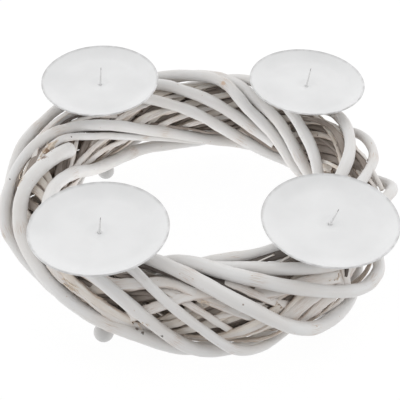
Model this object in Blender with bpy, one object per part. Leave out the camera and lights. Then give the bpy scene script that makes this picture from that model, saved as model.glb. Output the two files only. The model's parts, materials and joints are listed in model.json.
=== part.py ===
"""Advent wreath, in metres, +Z up.

Round willow canes are wound one way round a ring, over an inner layer of split strips that are wound the
other way. Four dished candle plates stand over the ring. Each is on a pointed pin, which runs down through
the ring into the ball foot below it. The feet stand on z = 0, under the middle of the whole wreath.
"""

import math

import bmesh
import bpy
import mathutils
import numpy as np

# The ring that the canes are wound to: its circle, and the oval of its section.
ring_radius = 0.1217
oval_half_width = 0.0282
oval_half_height = 0.0346
oval_centre_height = 0.0513

# How far under the oval the two layers start out, before they settle against each other.
cane_depth = 0.0055
strip_depth = 0.0135

# The largest waves along a cane, and how finely its route is worked out, in degrees.
wave_height = 0.0005
route_step = 0.5
corner_steps = 9

cane_gap = 0.00032
cane_step = 0.015
strip_step = 0.0125
cane_sides = 6
cap_rise = 0.0007

# A strip's flat section, as shares of its width and thickness.
strip_half_across = 0.78
strip_half_out = 0.74

# How the canes settle: how often near pairs are listed again, how near those are, the furthest push in one
# round, how far a push overshoots, how stiff a cane is, and how it keeps to its route and draws inwards.
settle_rounds = 1400
list_again = 25
near_margin = 0.004
most_push = 0.004
overshoot = 1.25
stiffness = 0.3
memory = 0.004
inward_pull = 0.000005
seen_above = 0.15
turned_out = 1.2

plate_radius = 0.048
plate_flat_radius = 0.034
plate_rim_rise = 0.0056
plate_dimple_radius = 0.010
plate_dimple_depth = 0.0026
plate_thickness = 0.0009
plate_facets = 36

pin_radius = 0.0013
pin_spike_length = 0.0165
pin_clearance = 0.0003
pin_bend_rise = 0.003
pin_facets = 8

foot_radius = 0.0075
foot_flat_radius = 0.0024
foot_bore_depth = 0.0085
foot_facets = 18

# Each cane: the diameters of its butt and its tip in millimetres, and the angles it passes in degrees.
# The first angle is round the ring, anticlockwise from +X seen from above. The second is round the
# section: 0 outside, 90 on top, 180 inside, 270 or -90 below. A third number is how far the cane bulges
# there, in millimetres.
canes = {
    "cane_01": (12.2, 8.6, (
        (163, 129), (168, 120), (175, 108), (182, 94), (188, 74), (193, 58), (199, 41), (206, 25),
        (214, 17), (224, 9), (236, -5), (246, -13), (254, -17), (262, -34), (272, -68), (288, -108),
        (306, -140), (320, -168))),
    "cane_02": (10.4, 8.2, (
        (42, 282), (48, 268), (54, 258), (60, 252), (66, 248), (75, 243), (84, 234), (94, 218), (104, 201),
        (115, 184), (125, 166), (141, 139), (150, 120), (158, 96), (166, 72), (172, 50), (176, 34, 1),
        (181, 21, 2), (188, 8, 5), (196, -4, 7), (203, -18, 3), (212, -38), (225, -62), (240, -94),
        (256, -122), (272, -146), (290, -166), (306, -184), (320, -202))),
    "cane_03": (11.4, 8.4, (
        (78, 298), (87, 280), (95, 266), (104, 256), (113, 252), (124, 248), (135, 230), (153, 196),
        (171, 159), (184, 135), (194, 114), (208, 91), (222, 73), (234, 62), (242, 54), (250, 39),
        (256, 21), (261, 4), (266, -19, 1), (273, -41, 2), (285, -66), (300, -94), (318, -132),
        (332, -164))),
    "cane_04": (8.0, 6.4, (
        (200, 186), (210, 165), (222, 140), (235, 113), (245, 95), (250, 85), (254, 71), (258, 57),
        (264, 35), (271, 8, 1), (276, -13, 4), (281, -32, 7), (289, -50, 6), (300, -66), (315, -90),
        (330, -120), (338, -138))),
    "cane_05": (10.4, 10.0, (
        (213, 228), (225, 202), (238, 160), (247, 136, 2), (254, 121, 5), (260, 111, 4), (266, 101, 1),
        (271, 86), (276, 65), (282, 47), (287, 28), (291, 11), (297, -12), (303, -30, 3), (311, -39, 4),
        (320, -42, 3), (328, -54), (340, -70), (355, -98), (370, -128), (385, -155), (393, -178),
        (399, -193), (404, -204), (411, -217), (420, -229), (426, -241), (432, -261), (440, -280),
        (450, -300), (462, -326), (476, -354), (490, -384))),
    "cane_06": (11.0, 8.6, (
        (222, 236), (235, 206), (248, 168), (258, 136, 2), (265, 121, 5), (271, 111, 3), (277, 99),
        (283, 80), (289, 65), (294, 51), (300, 36), (306, 19), (314, -2, 3), (322, -16, 8), (331, -20, 9),
        (340, -30, 2), (352, -46), (366, -74), (380, -106), (388, -128))),
    "cane_07": (10.6, 7.6, (
        (49, 187, -8), (54, 179, -7), (59, 168, -4), (65, 158, -1), (72, 149), (79, 140), (87, 130),
        (94, 122), (100, 110), (106, 100), (120, 80), (134, 64, 1), (147, 54, 3), (157, 47, 3), (165, 38, 4),
        (173, 24, 1), (181, 4), (192, -24), (206, -62), (222, -100), (240, -128), (258, -148), (275, -168),
        (282, -176))),
    "cane_08": (10.8, 8.0, (
        (37, 266), (45, 254), (54, 238), (61, 219), (69, 202), (76, 188), (84, 174), (91, 160), (99, 148),
        (105, 137), (111, 126), (120, 106), (130, 82), (140, 54), (150, 26), (162, -4), (178, -42),
        (195, -84), (205, -108))),
    "cane_09": (9.6, 8.0, (
        (246, 192), (256, 166), (266, 140, 2), (275, 122, 4), (285, 112, 2), (293, 87), (302, 64),
        (310, 48), (322, 30), (336, 8), (350, -14), (366, -42), (380, -72))),
    "cane_10": (8.2, 9.4, (
        (262, 160, 1), (268, 148, 2.5), (275, 136, 4.5), (284, 129, 4.5), (292, 126, 3.5), (303, 119, 2.5),
        (316, 104, 1), (328, 82), (338, 58, 2), (346, 42, 4), (352, 29, 4), (357, 18, 5), (360, 11, 5),
        (363, 4, 4), (370, -14, 2), (380, -42), (388, -60), (400, -84))),
    "cane_11": (11.4, 6.4, (
        (20, 276), (27, 256), (34, 224, -2), (41, 196, -3), (49, 174, -3), (55, 159, -1), (61, 147, 2),
        (68, 134, 4), (73, 117, 4), (78, 101, 4), (84, 90, 4), (89, 84, 4), (97, 74, 4), (104, 61, 3),
        (115, 40), (130, 8), (148, -32), (168, -76), (185, -115), (200, -152), (204, -160))),
    "cane_12": (10.2, 7.8, (
        (348, 214), (358, 198), (365, 182, -1), (373, 167, -2), (376, 160, -2), (383, 149, -2),
        (389, 141, -2), (395, 132, -1), (402, 120), (412, 104), (422, 85), (432, 62), (445, 34), (460, 4),
        (478, -36), (500, -82), (520, -122), (540, -160), (546, -172))),
    "cane_13": (10.2, 8.0, (
        (335, 160), (345, 142), (353, 126), (360, 112), (367, 99), (375, 85), (384, 68), (392, 52),
        (402, 28), (415, -5), (430, -42), (452, -92))),
    "cane_14": (8.6, 7.2, (
        (330, 130), (337, 114), (345, 95), (355, 73), (363, 55, 2), (371, 41, 4), (379, 33, 5),
        (387, 21, 4), (398, -2), (412, -34), (430, -74), (440, -98))),
    "cane_15": (6.8, 6.2, (
        (80, 262), (89, 242), (97, 226), (104, 215), (115, 200), (126, 184), (138, 165), (150, 146),
        (158, 127), (163, 112, -2), (169, 96, -6), (176, 80, -10))),
    "cane_16": (9.6, 7.6, ((42, 76), (55, 44), (70, 12), (88, -22), (105, -56), (125, -96), (146, -136))),
}

# Each split strip: its width and thickness in millimetres, and the angles it passes, as above.
strips = {
    "strip_01": (7.8, 2.8, (
        (150, -5), (165, 45), (176, 84), (182, 107), (186, 126), (196, 160), (210, 208), (225, 262),
        (240, 318), (247, 346), (253, 370), (258, 388), (262, 401), (268, 421), (276, 448), (284, 474))),
    "strip_02": (7.8, 2.8, (
        (158, -12), (172, 38), (180, 68), (186, 94), (190, 113), (200, 148), (215, 198), (232, 258),
        (248, 318), (262, 366), (274, 408))),
    "strip_03": (7.6, 2.8, (
        (165, -22), (180, 38), (190, 80), (196, 101), (208, 140), (225, 198), (245, 270), (262, 322),
        (276, 354), (284, 372), (288, 381), (295, 394), (305, 424), (316, 466))),
    "strip_04": (7.6, 2.8, (
        (172, -30), (184, 18), (195, 61), (200, 78), (215, 125), (235, 190), (255, 250), (265, 278),
        (280, 330), (294, 376))),
    "strip_05": (10.2, 3.6, (
        (270, 268), (285, 302), (296, 326), (302, 334), (306, 347), (313, 372), (322, 404), (334, 444),
        (348, 496), (362, 546), (376, 600), (390, 650), (404, 698), (414, 730))),
    "strip_06": (9.4, 3.2, (
        (216, -46), (228, -4), (238, 28), (244, 48), (249, 62), (255, 79), (260, 94), (268, 116),
        (280, 156), (295, 206), (312, 258), (318, 284, 4), (324, 312, 10), (330, 329, 11), (338, 358, 6),
        (348, 392), (362, 440))),
    "strip_07": (8.6, 3.0, (
        (258, -104), (268, -72), (276, -52), (283, -38, 1), (290, -20, 2), (300, 14), (312, 54), (326, 100),
        (342, 156), (358, 212), (372, 262), (386, 312), (400, 362), (410, 398))),
    "strip_08": (7.4, 3.0, (
        (240, 176), (252, 220), (262, 252), (270, 278), (276, 288, 8), (282, 300, 12), (288, 312, 13),
        (293, 325, 12), (298, 346, 7), (304, 370), (318, 416), (332, 464), (346, 512))),
    "strip_09": (8.0, 2.8, (
        (262, 200), (276, 248), (290, 290), (298, 310, 5), (304, 328, 8), (308, 338, 8), (312, 348, 6),
        (320, 376), (332, 416), (346, 462), (360, 510))),
    "strip_10": (6.5, 2.8, (
        (350, -20), (360, 15), (370, 52), (380, 88), (386, 110), (391, 128), (404, 172), (420, 226),
        (436, 280), (450, 326))),
    "strip_11": (3.8, 2.6, (
        (342, 52), (354, 96), (365, 130), (377, 160), (390, 196), (406, 246), (420, 296))),
    "strip_12": (6.4, 2.6, (
        (44, -60), (58, -12), (70, 26), (81, 66), (86, 86), (91, 106), (100, 138), (112, 176), (126, 226),
        (142, 282), (158, 338))),
    "strip_13": (8.4, 2.8, (
        (82, 54), (95, 88), (104, 109), (112, 125), (125, 149), (136, 183), (143, 211), (152, 238),
        (166, 284), (180, 330), (196, 380), (212, 432), (228, 486), (244, 540), (258, 590), (272, 638),
        (286, 686))),
    "strip_14": (7.4, 2.6, (
        (66, 88), (78, 113), (90, 134), (101, 147), (117, 157), (128, 184), (142, 238), (158, 296),
        (172, 346))),
    "strip_15": (7.8, 2.8, (
        (56, 70), (70, 112), (82, 142), (94, 170), (108, 194), (122, 226), (138, 266), (154, 306),
        (170, 360))),
    "strip_16": (7.8, 2.8, (
        (48, 52), (62, 100), (76, 146), (89, 187), (99, 212), (112, 246), (128, 292), (144, 340),
        (160, 396))),
    "strip_17": (5.2, 2.6, (
        (118, 12), (132, 58), (146, 106), (155, 140), (162, 168), (174, 208), (190, 262), (204, 310))),
    "strip_18": (8.2, 2.8, (
        (118, 108), (132, 147), (144, 177), (156, 194), (170, 225), (186, 268), (200, 316), (215, 366),
        (230, 418), (246, 474), (262, 528), (278, 582), (294, 636))),
    "strip_19": (7.4, 2.8, (
        (96, 70), (108, 104), (118, 137), (128, 167), (137, 193), (146, 210), (156, 235), (170, 282),
        (186, 340), (202, 396))),
    "strip_20": (8.0, 2.8, (
        (33, 148), (46, 172), (59, 188), (75, 200), (88, 214), (102, 246), (118, 288), (134, 340))),
    "strip_21": (3.8, 2.6, ((354, 150), (367, 125), (382, 106), (396, 86), (408, 64))),
    "strip_22": (3.8, 2.6, ((376, 134), (386, 104), (395, 81), (404, 60))),
    "strip_23": (8.6, 3.4, ((284, 66), (292, 52), (300, 33), (308, 17), (313, 9), (318, 2))),
    "strip_24": (8.0, 4.2, (
        (222, 46), (230, 30, 1), (234, 24, 2), (239, 16, 2), (246, 2, 2), (252, -14, 2))),
    "strip_25": (6.6, 2.8, (
        (148, 124, 4), (156, 107, 8), (163, 94, 8), (171, 78, 8), (178, 64, 5), (186, 46))),
    "strip_26": (8.6, 2.8, ((345, -75), (355, -40), (368, 6), (380, 50), (392, 96), (404, 140))),
    "strip_27": (8.6, 2.8, (
        (352, -120), (362, -84), (374, -42), (386, 0), (398, 42), (410, 84), (424, 132))),
    "strip_28": (8.4, 2.8, ((36, 96), (52, 150), (70, 208), (84, 250), (96, 290), (112, 342), (128, 396))),
    "strip_29": (8.2, 2.8, ((84, -40), (98, 8), (112, 56), (126, 104), (142, 158), (158, 214), (174, 268))),
    "strip_30": (8.8, 3.4, (
        (334, 60), (348, 108), (362, 150), (374, 190), (388, 238), (402, 286), (416, 334), (430, 384))),
    "strip_31": (8.4, 2.8, (
        (236, 106), (250, 154), (264, 204), (278, 252), (292, 300), (306, 350), (320, 398), (334, 446))),
    "strip_32": (8.4, 2.8, ((10, 148), (24, 196), (38, 246), (52, 296), (66, 344), (80, 392), (94, 442))),
}

# Each candle plate: the middle of its rim, how its face and its spike lean towards +X and +Y in degrees, and
# how far its foot stands to +X and +Y of where the pin passes the plate.
plates = {
    "front_left": ((-0.0662, -0.0977, 0.1047), (-0.3, 0.0), (8, -9), (-0.0023, -0.0068)),
    "front_right": ((0.0912, -0.0824, 0.0985), (0.8, -2.1), (18, -6), (0.0, 0.0)),
    "back_left": ((-0.0802, 0.0838, 0.1055), (0.4, -4.2), (5, 4), (-0.0018, 0.003)),
    "back_right": ((0.0906, 0.0929, 0.0984), (2.1, -1.8), (12, 15), (0.0, 0.0)),
}

cane_colour = (0.80, 0.78, 0.75)
strip_colour = (0.66, 0.60, 0.54)
plate_colour = (0.86, 0.87, 0.88)
pin_colour = (0.62, 0.62, 0.62)
foot_colour = (0.86, 0.85, 0.84)


def painted(name, colour, roughness, metallic):
    """A material of one colour."""
    material = bpy.data.materials.new(name)
    material.use_nodes = True
    shader = material.node_tree.nodes["Principled BSDF"]
    shader.inputs["Base Color"].default_value = (*colour, 1)
    shader.inputs["Roughness"].default_value = roughness
    shader.inputs["Metallic"].default_value = metallic
    material.diffuse_color = (*colour, 1)
    return material


def body(name, points, faces, material, smooth_angle=40):
    """One closed solid, as an object with its own material."""
    mesh = bpy.data.meshes.new(name)
    mesh.from_pydata([tuple(map(float, point)) for point in points], [], faces)
    shape = bmesh.new()
    shape.from_mesh(mesh)
    bmesh.ops.recalc_face_normals(shape, faces=shape.faces)
    shape.to_mesh(mesh)
    shape.free()
    mesh.shade_smooth()
    mesh.set_sharp_from_angle(angle=math.radians(smooth_angle))
    mesh.materials.append(material)
    made = bpy.data.objects.new(name, mesh)
    bpy.context.collection.objects.link(made)
    return made


def outward(points):
    """The direction away from the middle of the section, at each point."""
    reach = np.hypot(points[:, 0], points[:, 1])
    across = (reach - ring_radius) / oval_half_width**2
    up = (points[:, 2] - oval_centre_height) / oval_half_height**2
    way = np.stack([across * points[:, 0] / reach, across * points[:, 1] / reach, up], axis=1)
    return way / np.linalg.norm(way, axis=1, keepdims=True)


def eased(values):
    """The values with their corners rounded and their ends kept."""
    before = 2 * values[0] - values[corner_steps:0:-1]
    after = 2 * values[-1] - values[-2:-corner_steps - 2:-1]
    window = np.hanning(2 * corner_steps + 3)[1:-1]
    return np.convolve(np.concatenate([before, values, after]), window / window.sum(), mode="valid")


def wound(angles, depth, step, wobble):
    """Points at equal steps along a smooth winding that passes the given angles."""
    angles = np.array([(*angle, 0)[:3] for angle in angles], float)
    round_ring = np.arange(angles[0, 0], angles[-1, 0] + route_step / 2, route_step)
    round_oval = eased(np.interp(round_ring, angles[:, 0], angles[:, 1]))
    bulge = eased(np.interp(round_ring, angles[:, 0], angles[:, 2])) / 1000
    ring_turn, oval_turn = np.radians(round_ring), np.radians(round_oval)
    waves, starts = wobble
    lift = sum(wave_height * np.sin(wave * ring_turn + start) for wave, start in zip(waves, starts))
    inset = depth - lift - bulge
    distance = ring_radius + (oval_half_width - inset) * np.cos(oval_turn)
    fine = np.stack([
        distance * np.cos(ring_turn), distance * np.sin(ring_turn),
        oval_centre_height + (oval_half_height - inset) * np.sin(oval_turn)], axis=1)
    along = np.concatenate([[0], np.cumsum(np.linalg.norm(np.diff(fine, axis=0), axis=1))])
    marks = np.linspace(0, along[-1], max(4, round(along[-1] / step)) + 1)
    return np.stack([np.interp(marks, along, fine[:, i]) for i in range(3)], axis=1)


def nearest(p, q, r, s):
    """Where segments p to q and r to s come nearest: the share along each."""
    u, v, w = q - p, s - r, p - r
    a, b, c = (u * u).sum(1), (u * v).sum(1), (v * v).sum(1)
    d, e = (u * w).sum(1), (v * w).sum(1)
    flat = np.maximum(a * c - b * b, 1e-14)
    first = np.clip((b * e - c * d) / flat, 0, 1)
    second = np.clip((b * first + e) / np.maximum(c, 1e-12), 0, 1)
    first = np.clip((b * second - d) / np.maximum(a, 1e-12), 0, 1)
    return first, second


class Bundle:
    """All the canes and strips as chains of points, with what stands in their way."""

    def __init__(self):
        self.chains = {}
        self.points = np.zeros((0, 3))
        self.wide = np.zeros(0)
        self.deep = np.zeros(0)
        self.layer = np.zeros(0)
        self.fixed = []

    def add(self, name, points, wide, deep, layer):
        start = len(self.points)
        self.chains[name] = slice(start, start + len(points))
        self.points = np.concatenate([self.points, points])
        self.wide = np.concatenate([self.wide, wide])
        self.deep = np.concatenate([self.deep, deep])
        self.layer = np.concatenate([self.layer, np.full(len(points), float(layer))])

    def block(self, low, high, radius):
        """A fixed rod or ball that the canes keep off."""
        self.fixed.append((np.array(low, float), np.array(high, float), radius))

    def segments(self):
        first = np.concatenate([np.arange(chain.start, chain.stop - 1) for chain in self.chains.values()])
        owner = np.concatenate([
            np.full(chain.stop - chain.start - 1, i) for i, chain in enumerate(self.chains.values())])
        return first, owner

    def reach(self, index, way, out):
        """How far a cane's section reaches from its centre line along a direction."""
        share = np.abs((way * out).sum(1))
        across = self.wide[index] * np.sqrt(np.maximum(1 - share**2, 0))
        return np.hypot(across, self.deep[index] * share)

    def settle(self, under_plates):
        first, owner = self.segments()
        rest = self.points.copy()
        for turn in range(settle_rounds):
            if turn % list_again == 0:
                middle = (self.points[first] + self.points[first + 1]) / 2
                half = np.linalg.norm(self.points[first + 1] - self.points[first], axis=1) / 2
                size = np.maximum(self.wide, self.deep)[first] + half
                apart = np.linalg.norm(middle[:, None] - middle[None], axis=2) - size[:, None] - size[None]
                near = (apart < near_margin) & (owner[:, None] != owner[None])
                a, b = np.nonzero(np.triu(near))
            calm = turn / settle_rounds
            move = np.zeros_like(self.points)
            count = np.zeros(len(self.points))
            self.part_pairs(first[a], first[b], move, count)
            self.part_fixed(first, move, count)
            self.points += overshoot * move / np.maximum(count, 1)[:, None]
            for centre, radius, height in under_plates:
                inside = np.hypot(self.points[:, 0] - centre[0], self.points[:, 1] - centre[1]) < radius
                top = height - self.deep - cane_gap
                self.points[inside, 2] = np.minimum(self.points[inside, 2], top[inside])
            if calm < 0.9:
                self.stay_smooth(rest, 1 - calm)
            if calm < 0.7:
                self.points -= inward_pull * outward(self.points)

    def part_pairs(self, i, j, move, count):
        points = self.points
        s, t = nearest(points[i], points[i + 1], points[j], points[j + 1])
        on_i = points[i] + s[:, None] * (points[i + 1] - points[i])
        on_j = points[j] + t[:, None] * (points[j + 1] - points[j])
        out = outward((on_i + on_j) / 2)
        gap = on_j - on_i
        distance = np.linalg.norm(gap, axis=1)
        way = gap / np.maximum(distance, 1e-9)[:, None]
        rank = np.sign(self.layer[j] - self.layer[i])
        wrong = (rank != 0) & ((way * out).sum(1) * rank < seen_above)
        swapped = way + out * (rank * turned_out)[:, None]
        swapped /= np.linalg.norm(swapped, axis=1, keepdims=True)
        way = np.where(wrong[:, None], swapped, way)
        distance = np.where(wrong, (gap * way).sum(1), distance)
        short = self.reach(i, way, out) + self.reach(j, way, out) + cane_gap - distance
        hit = short > 0
        i, j, s, t, way, short = i[hit], j[hit], s[hit], t[hit], way[hit], short[hit]
        short = np.minimum(short, most_push)
        weight = (1 - s)**2 + s**2 + (1 - t)**2 + t**2
        push = (short / weight)[:, None] * way
        for index, share in ((i, -(1 - s)), (i + 1, -s), (j, 1 - t), (j + 1, t)):
            np.add.at(move, index, share[:, None] * push)
            np.add.at(count, index, np.abs(share) > 0.02)

    def part_fixed(self, first, move, count):
        for low, high, radius in self.fixed:
            i = first
            p, q = self.points[i], self.points[i + 1]
            r, s = np.broadcast_to(low, p.shape), np.broadcast_to(high, p.shape)
            share, other = nearest(p, q, r, s)
            on_cane = p + share[:, None] * (q - p)
            gap = on_cane - (r + other[:, None] * (s - r))
            distance = np.linalg.norm(gap, axis=1)
            way = gap / np.maximum(distance, 1e-9)[:, None]
            short = radius + self.reach(i, way, outward(on_cane)) + cane_gap - distance
            hit = short > 0
            share, push = share[hit], (np.minimum(short, most_push)[:, None] * way)[hit]
            weight = ((1 - share)**2 + share**2)[:, None]
            np.add.at(move, i[hit], (1 - share)[:, None] * push / weight)
            np.add.at(move, i[hit] + 1, share[:, None] * push / weight)
            np.add.at(count, i[hit], 1)
            np.add.at(count, i[hit] + 1, 1)

    def stay_smooth(self, rest, strength):
        """Spreads each cane's bend along it, and draws it back towards its route."""
        change = self.points - rest
        for chain in self.chains.values():
            part = change[chain]
            bend = np.zeros_like(part)
            bend[1:-1] = part[:-2] - 2 * part[1:-1] + part[2:]
            bend[0] = part[1] - part[0]
            bend[-1] = part[-2] - part[-1]
            change[chain] = part + strength * (stiffness * bend - memory * part)
        self.points = rest + change


def frames(points):
    """At each point of a chain, the directions across and out of the ring, square to the chain."""
    along = np.gradient(points, axis=0)
    along /= np.linalg.norm(along, axis=1, keepdims=True)
    out = outward(points)
    out -= (out * along).sum(1, keepdims=True) * along
    out /= np.linalg.norm(out, axis=1, keepdims=True)
    return along, np.cross(along, out), out


def tube(name, points, section, material):
    """A closed tube along the points; the section gives the corners at each, as (across, out) pairs."""
    along, across, out = frames(points)
    corners = section.shape[1]
    rings = points[:, None] + section[..., :1] * across[:, None] + section[..., 1:] * out[:, None]
    vertices = list(rings.reshape(-1, 3))
    vertices.append(points[0] - cap_rise * along[0])
    vertices.append(points[-1] + cap_rise * along[-1])
    butt, tip = len(vertices) - 2, len(vertices) - 1
    faces = []
    for k in range(len(points) - 1):
        for c in range(corners):
            d = (c + 1) % corners
            low, high = k * corners, (k + 1) * corners
            faces.append((low + c, low + d, high + d))
            faces.append((low + c, high + d, high + c))
    last = (len(points) - 1) * corners
    for c in range(corners):
        d = (c + 1) % corners
        faces.append((d, c, butt))
        faces.append((last + c, last + d, tip))
    return body(name, vertices, faces, material, smooth_angle=70)


def round_section(radii):
    turn = np.arange(cane_sides) * 2 * math.pi / cane_sides
    corners = np.stack([np.cos(turn), np.sin(turn)], axis=1)
    return radii[:, None, None] * corners[None]


def strip_section(wide, deep):
    """A flat strip's four corners, inside the oval that the canes keep off."""
    across = strip_half_across * np.array((1, -1, -1, 1))
    out = strip_half_out * np.array((1, 1, -1, -1))
    return np.stack([wide[:, None] * across, deep[:, None] * out], axis=2)


def turned(name, profile, facets, place, lean, material, closed=False):
    """A body turned about +Z from (radius, height) points, leaned and set in place."""
    vertices, rows = [], []
    for radius, height in profile:
        if radius == 0:
            rows.append([len(vertices)] * facets)
            vertices.append((0, 0, height))
            continue
        rows.append([len(vertices) + k for k in range(facets)])
        for k in range(facets):
            turn = 2 * math.pi * k / facets
            vertices.append((radius * math.cos(turn), radius * math.sin(turn), height))
    if closed:
        rows.append(rows[0])
    faces = []
    for low, high in zip(rows, rows[1:]):
        for k in range(facets):
            n = (k + 1) % facets
            face = [low[k], low[n], high[n], high[k]]
            faces.append([v for i, v in enumerate(face) if v not in face[:i]])
    normal = lean_normal(lean)
    side = np.cross((0, 1, 0), normal)
    side /= np.linalg.norm(side)
    turn = np.stack([side, np.cross(normal, side), normal], axis=1)
    return body(name, np.array(vertices) @ turn.T + place, faces, material)


def lean_normal(lean):
    way = np.array([math.sin(math.radians(lean[0])), math.sin(math.radians(lean[1])), 1.0])
    return way / np.linalg.norm(way)


def seat_of(rim, lean):
    """Where the pin passes the middle of a plate, at the bottom of its dimple."""
    return np.array(rim) - (plate_rim_rise + plate_dimple_depth) * lean_normal(lean)


def plate_profile():
    """The dish in section, out along its underside and back along its face, with its rim at height 0."""
    hole = pin_radius + pin_clearance
    flat = -plate_rim_rise
    rim_steps = 4
    span = plate_radius - plate_flat_radius
    upper = [(hole, flat - plate_dimple_depth), (hole + 0.0028, flat - plate_dimple_depth)]
    upper += [(plate_dimple_radius, flat)]
    for k in range(rim_steps + 1):
        share = k / rim_steps
        upper.append((plate_flat_radius + span * share, flat + plate_rim_rise * share**1.8))
    lower = [(radius, height - plate_thickness) for radius, height in upper]
    return lower + upper[::-1]


def pin(name, foot, seat, lean, material):
    """A pin from the foot's bore up through the plate, and on as a spike that leans a little."""
    low = foot[2] + foot_radius - foot_bore_depth + pin_clearance
    top = foot[2] + foot_radius + pin_bend_rise
    elbow = seat + np.array((0, 0, plate_thickness))
    way = lean_normal(lean)
    shares = ((0, 1), (0.35, 0.94), (0.75, 0.62), (0.97, 0.2))
    points = [np.array((foot[0], foot[1], low)), np.array((foot[0], foot[1], top))]
    points.append(seat - np.array((0, 0, plate_thickness * 3)))
    points += [elbow + share * pin_spike_length * way for share, _ in shares]
    radii = [pin_radius] * 3 + [pin_radius * size for _, size in shares]
    turn = np.arange(pin_facets) * 2 * math.pi / pin_facets
    vertices = [
        point + radius * np.array((math.cos(angle), math.sin(angle), 0))
        for point, radius in zip(points, radii) for angle in turn]
    vertices.append(elbow + pin_spike_length * way)
    faces = [tuple(reversed(range(pin_facets)))]
    last = (len(points) - 1) * pin_facets
    for k in range(pin_facets):
        n = (k + 1) % pin_facets
        faces.append((last + k, last + n, len(vertices) - 1))
        for row in range(0, last, pin_facets):
            faces.append((row + k, row + n, row + n + pin_facets, row + k + pin_facets))
    return body(name, vertices, faces, material)


def foot_profile():
    """A ball with a flat spot to stand on and a blind bore for the pin. Its centre is at height 0."""
    bore = pin_radius + pin_clearance
    flat_angle = -math.acos(foot_flat_radius / foot_radius)
    mouth_angle = math.acos(bore / foot_radius)
    profile = [(0, foot_radius * math.sin(flat_angle))]
    steps = 8
    for k in range(steps + 1):
        angle = flat_angle + (mouth_angle - flat_angle) * k / steps
        profile.append((foot_radius * math.cos(angle), foot_radius * math.sin(angle)))
    floor = foot_radius - foot_bore_depth
    return profile + [(bore, floor), (0, floor)]


def foot_place(seat, shift):
    """The middle of the ball foot, which stands on the ground near under the plate's seat."""
    height = foot_radius * math.sin(math.acos(foot_flat_radius / foot_radius))
    return np.array((seat[0] + shift[0], seat[1] + shift[1], height))


def wreath_bundle():
    """The settled canes and strips."""
    rng = np.random.default_rng(12)
    bundle = Bundle()
    for name, (butt, tip, angles) in canes.items():
        wobble = (rng.uniform(3, 8, 3), rng.uniform(0, 6.28, 3))
        points = wound(angles, cane_depth, cane_step, wobble)
        radii = np.linspace(butt, tip, len(points)) / 2000
        bundle.add(name, points, radii, radii, layer=1)
    for name, (width, thickness, angles) in strips.items():
        wobble = (rng.uniform(3, 8, 3), rng.uniform(0, 6.28, 3))
        points = wound(angles, strip_depth, strip_step, wobble)
        wide = np.full(len(points), width / 2000)
        deep = np.full(len(points), thickness / 2000)
        bundle.add(name, points, wide, deep, layer=0)
    under = []
    for rim, lean, _, shift in plates.values():
        seat = seat_of(rim, lean)
        x, y = seat[:2]
        foot = foot_place(seat, shift)
        bend = foot + np.array((0, 0, foot_radius + pin_bend_rise))
        bundle.block(bend, seat, pin_radius + 0.0001)
        bundle.block(foot, bend, pin_radius + 0.0001)
        bundle.block(foot, foot + np.array((0, 0, 1e-6)), foot_radius)
        slope = math.radians(max(abs(lean[0]), abs(lean[1])))
        flat_under = rim[2] - plate_rim_rise - plate_thickness
        under.append(((x, y), plate_radius + 0.002, flat_under - slope * plate_radius))
        under.append(((x, y), plate_dimple_radius + 0.006, flat_under - plate_dimple_depth))
    bundle.settle(under)
    return bundle


def centre_all():
    """Shifts every mesh alike, so that the middle of the whole box is over the origin."""
    corners = np.array([vertex.co[:2] for made in bpy.data.objects for vertex in made.data.vertices])
    middle = (corners.min(0) + corners.max(0)) / 2
    shift = mathutils.Matrix.Translation((-middle[0], -middle[1], 0))
    for made in bpy.data.objects:
        made.data.transform(shift)


def main():
    for old in list(bpy.data.objects):
        bpy.data.objects.remove(old)
    bundle = wreath_bundle()
    cane_paint = painted("cane_paint", cane_colour, 0.55, 0)
    strip_paint = painted("strip_paint", strip_colour, 0.7, 0)
    plate_paint = painted("plate_lacquer", plate_colour, 0.3, 0)
    pin_paint = painted("pin_lacquer", pin_colour, 0.35, 0.6)
    foot_paint = painted("foot_paint", foot_colour, 0.4, 0)
    for name, chain in bundle.chains.items():
        wide, deep = bundle.wide[chain], bundle.deep[chain]
        if name in canes:
            tube(name, bundle.points[chain], round_section(wide), cane_paint)
        else:
            tube(name, bundle.points[chain], strip_section(wide, deep), strip_paint)
    for place, (rim, lean, spike_lean, shift) in plates.items():
        seat = seat_of(rim, lean)
        foot = foot_place(seat, shift)
        turned(f"plate_{place}", plate_profile(), plate_facets, rim, lean, plate_paint, closed=True)
        pin(f"pin_{place}", foot, seat, spike_lean, pin_paint)
        turned(f"foot_{place}", foot_profile(), foot_facets, foot, (0, 0), foot_paint)
    centre_all()


main()
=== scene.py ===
import json
import math

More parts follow.
